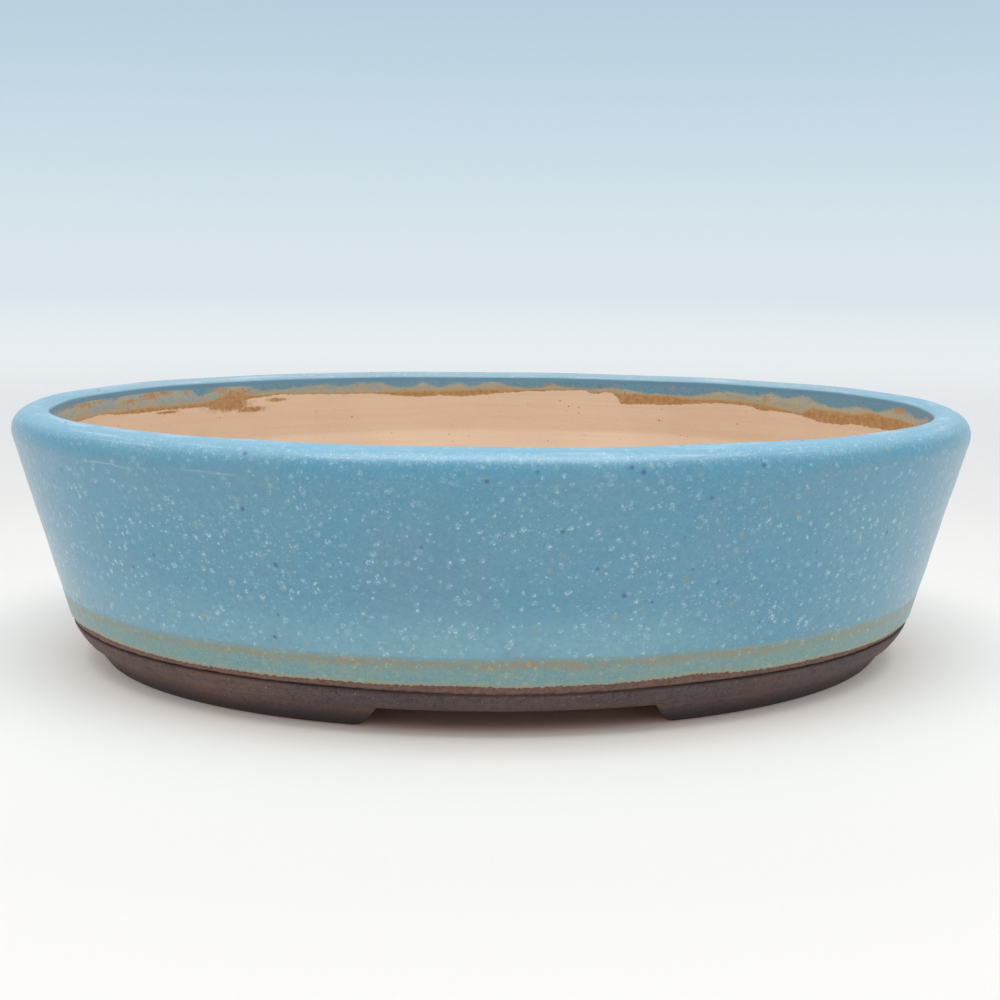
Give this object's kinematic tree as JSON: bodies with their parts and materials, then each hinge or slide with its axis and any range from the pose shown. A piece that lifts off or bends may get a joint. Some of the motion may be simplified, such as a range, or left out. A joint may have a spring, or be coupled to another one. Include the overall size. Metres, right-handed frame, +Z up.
{
  "type": "oval bonsai pot",
  "caption": "Shallow oval stoneware planter with a leaning glazed wall, rounded rim, bare clay base band, split oval foot, and drain and tie-wire holes in the floor.",
  "frame": {"origin": "on the table, under the centre of the oval", "axes": "+X along the oval's length, +Y along its depth towards the back, +Z up"},
  "size_m": [0.36, 0.28, 0.095],
  "materials": {
    "bare_clay": "matte fired clay, unglazed",
    "brown_clay": "matte fired clay, darkened with an iron wash",
    "blue_glaze": "satin glaze with pale speckles",
    "green_glaze": "satin glaze breaking to ochre at its upper edge",
    "lip_glaze": "thin glaze with rust patches"
  },
  "bodies": {
    "root": {"floor_slab": "brown_clay", "foot_left": "brown_clay", "foot_right": "brown_clay", "wall": "bare_clay", "rim": "bare_clay", "seam_coil": "bare_clay", "glaze_outer": "blue_glaze", "glaze_base_band": "green_glaze", "glaze_lip": "lip_glaze"}
  },
  "joints": []
}
